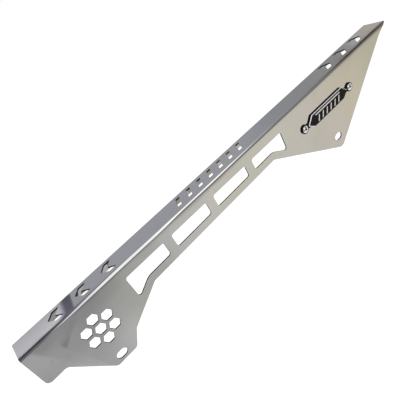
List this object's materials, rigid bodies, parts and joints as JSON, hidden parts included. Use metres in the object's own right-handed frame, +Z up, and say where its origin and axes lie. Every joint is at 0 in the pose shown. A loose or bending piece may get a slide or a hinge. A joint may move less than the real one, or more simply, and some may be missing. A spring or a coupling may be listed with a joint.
{
  "type": "motorcycle chain guard",
  "caption": "Folded polished stainless chain guard: a windowed side plate with slotted bolt holes, a lipped top flange with chevron cut-outs over the chain, and a riveted badge.",
  "frame": {"origin": "midway between the two bolt slots, on the plate's inner face, which seats on the swing arm", "axes": "+X through the slots to the rear of the motorcycle, +Y inwards over the chain, +Z up"},
  "size_m": [0.5415, 0.0325, 0.0919],
  "materials": {
    "polished_stainless": "polished stainless sheet with laser-cut edges",
    "badge_black": "gloss black casting with bright raised lines",
    "rivet_aluminium": "bright domed heads",
    "mandrel_steel": "dull broken ends"
  },
  "bodies": {
    "root": {"guard_sheet": "polished_stainless", "badge": "badge_black", "badge_rivets": "rivet_aluminium", "rivet_mandrels": "mandrel_steel"}
  },
  "joints": []
}
